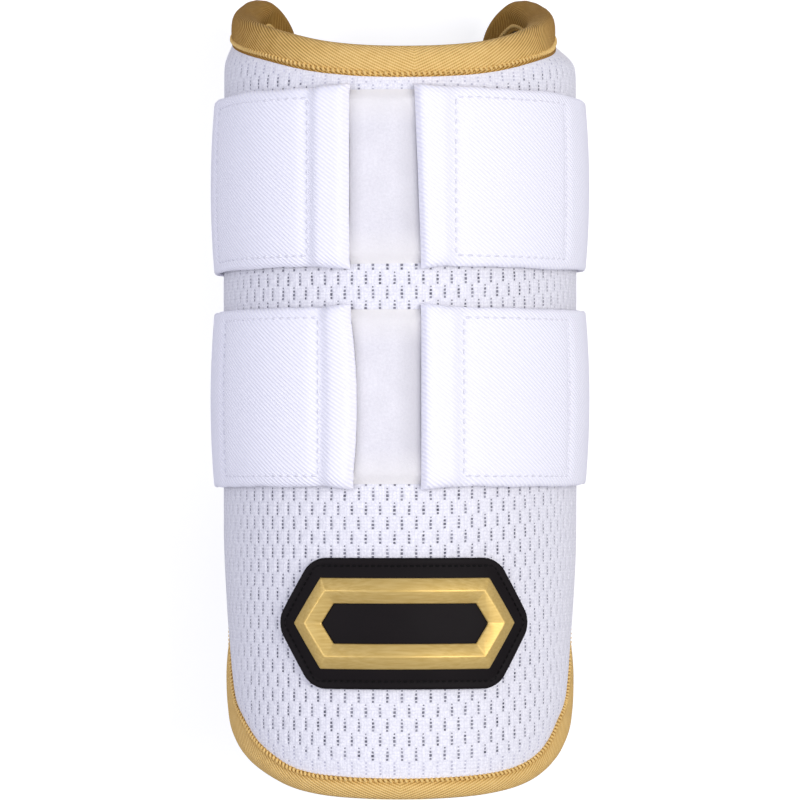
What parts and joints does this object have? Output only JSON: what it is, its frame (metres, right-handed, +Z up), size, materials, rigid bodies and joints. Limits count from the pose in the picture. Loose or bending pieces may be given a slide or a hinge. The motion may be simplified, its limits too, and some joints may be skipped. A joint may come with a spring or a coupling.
{
  "type": "batter's elbow guard",
  "caption": "Padded white mesh elbow guard rolled round the arm, edged with gold tape and closed by wide elastic straps with hook ends on loop patches.",
  "frame": {"origin": "on the floor under the middle of the guard's box, which lies on the flat backs of its straps", "axes": "+Z up, out of the guard's front; +Y up the arm, towards the end with the two ears; +X to the right seen from the front"},
  "size_m": [0.1076, 0.2271, 0.0997],
  "materials": {
    "mesh_fabric": "white polyester sandwich mesh over foam",
    "gold_tape": "gold ribbed binding tape",
    "elastic": "white twill elastic webbing",
    "loop_fleece": "brushed white loop pile",
    "hook_tape": "white nylon hook tape",
    "badge_rubber": "matte black moulded rubber",
    "badge_gilt": "satin metallic gold relief"
  },
  "bodies": {
    "root": {"shell_panel": "mesh_fabric", "edge_binding": "gold_tape", "loop_patch_upper": "loop_fleece", "loop_patch_lower": "loop_fleece", "strap_upper": "elastic", "strap_lower": "elastic", "hook_patch_upper_left": "hook_tape", "hook_patch_upper_right": "hook_tape", "hook_patch_lower_left": "hook_tape", "hook_patch_lower_right": "hook_tape", "badge_backing": "badge_rubber", "badge_plate": "badge_gilt"}
  },
  "joints": []
}
